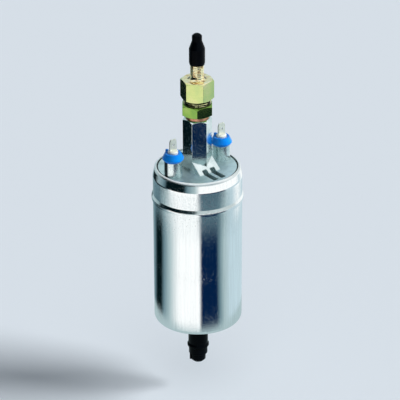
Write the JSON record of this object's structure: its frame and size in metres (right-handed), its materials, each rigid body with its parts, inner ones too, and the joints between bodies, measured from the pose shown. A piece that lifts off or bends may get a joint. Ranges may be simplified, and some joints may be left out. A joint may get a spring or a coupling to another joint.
{
  "type": "fuel pump",
  "caption": "Inline electric fuel pump: crimped can, hexagonal outlet tower with check valve and adapter, insulated blade terminals and black protection caps over its ports.",
  "frame": {"origin": "on the pump's axis, half way along the straight wall of the can, where a clamp holds it", "axes": "+Z along the pump's axis towards the outlet; +X through the right-hand terminal"},
  "size_m": [0.0536, 0.0536, 0.213],
  "materials": {
    "can_steel": "bright drawn sheet",
    "cast_cover": "fine cast, satin",
    "turned_aluminium": "turned",
    "yellow_plated_steel": "yellow zinc plated",
    "copper": "soft bare copper",
    "blue_plastic": "moulded, glossy",
    "tinned_blade": "tinned",
    "black_cap": "smooth, glossy",
    "seal_rubber": "matte",
    "screen_steel": "perforated sheet",
    "sintered_steel": "sintered and ground",
    "screw_steel": "blackened",
    "spring_steel": "drawn wire",
    "ball_steel": "polished",
    "bronze": "sintered bronze",
    "shaft_steel": "ground",
    "lamination_steel": "stacked sheet",
    "winding_copper": "enamelled wire, potted",
    "brown_moulding": "moulded resin",
    "pale_moulding": "moulded resin",
    "carbon": "pressed carbon",
    "ferrite": "ground ceramic",
    "flux_steel": "rolled sheet"
  },
  "bodies": {
    "pump": {"can": "can_steel", "outlet_cover": "cast_cover", "insulator_left": "blue_plastic", "insulator_right": "blue_plastic", "terminal_left": "tinned_blade", "terminal_right": "tinned_blade", "sealing_washer": "copper", "check_valve_body": "yellow_plated_steel", "outlet_adapter": "yellow_plated_steel", "inlet_cover": "turned_aluminium", "inlet_screen": "screen_steel", "inlet_seal": "seal_rubber", "outlet_seal": "seal_rubber", "pump_ring": "sintered_steel", "port_plate": "turned_aluminium", "stage_screws": "screw_steel", "relief_spring": "spring_steel", "flux_ring": "flux_steel", "magnets": "ferrite", "magnet_clips": "spring_steel", "lower_bush": "bronze", "upper_bush": "bronze", "brush_holder": "pale_moulding", "brush_spring_left": "spring_steel", "brush_spring_right": "spring_steel", "contact_straps": "copper", "terminal_spacers": "pale_moulding", "terminal_nuts": "screw_steel", "check_spring": "spring_steel", "spring_retainer": "turned_aluminium"},
    "armature": {"shaft": "shaft_steel", "armature_core": "lamination_steel", "armature_windings": "winding_copper", "commutator_hub": "brown_moulding", "commutator_segments": "copper", "inner_rotor": "sintered_steel", "thrust_washers": "pale_moulding"},
    "outer_gear": {"outer_rotor": "sintered_steel"},
    "left_brush": {"brush_left": "carbon"},
    "right_brush": {"brush_right": "carbon"},
    "outlet_check_ball": {"check_ball": "ball_steel"},
    "relief_valve_ball": {"relief_ball": "ball_steel"},
    "outlet_plug": {"outlet_cap": "black_cap"},
    "inlet_plug": {"inlet_cap": "black_cap"}
  },
  "joints": [
    {"name": "armature_spin", "type": "hinge", "parent": "pump", "child": "armature", "pos_m": [0, 0, 0], "axis": [0, 0, 1], "continuous": true},
    {"name": "outer_rotor_spin", "type": "hinge", "parent": "pump", "child": "outer_gear", "pos_m": [0.0015, 0, -0.026], "axis": [0, 0, 1], "continuous": true},
    {"name": "left_brush_lift", "type": "slide", "parent": "pump", "child": "left_brush", "axis": [0, 0, 1], "range_m": [0, 0.0018], "stiffness_N_per_m": 200, "springref_m": -0.004, "deforming": ["brush_spring_left"]},
    {"name": "right_brush_lift", "type": "slide", "parent": "pump", "child": "right_brush", "axis": [0, 0, 1], "range_m": [0, 0.0018], "stiffness_N_per_m": 200, "springref_m": -0.004, "deforming": ["brush_spring_right"]},
    {"name": "check_valve_lift", "type": "slide", "parent": "pump", "child": "outlet_check_ball", "axis": [0, 0, 1], "range_m": [0, 0.003], "stiffness_N_per_m": 60, "springref_m": -0.005, "deforming": ["check_spring"]},
    {"name": "relief_valve_lift", "type": "slide", "parent": "pump", "child": "relief_valve_ball", "axis": [0, 0, -1], "range_m": [0, 0.0015], "stiffness_N_per_m": 3000, "springref_m": -0.003, "deforming": ["relief_spring"]},
    {"name": "outlet_cap_pull", "type": "slide", "parent": "pump", "child": "outlet_plug", "axis": [0, 0, 1], "range_m": [0, 0.014]},
    {"name": "inlet_cap_pull", "type": "slide", "parent": "pump", "child": "inlet_plug", "axis": [0, 0, -1], "range_m": [0, 0.018]}
  ],
  "couplings": [
    {"joint": "outer_rotor_spin", "follows": "armature_spin", "ratio": 0.85714}
  ]
}
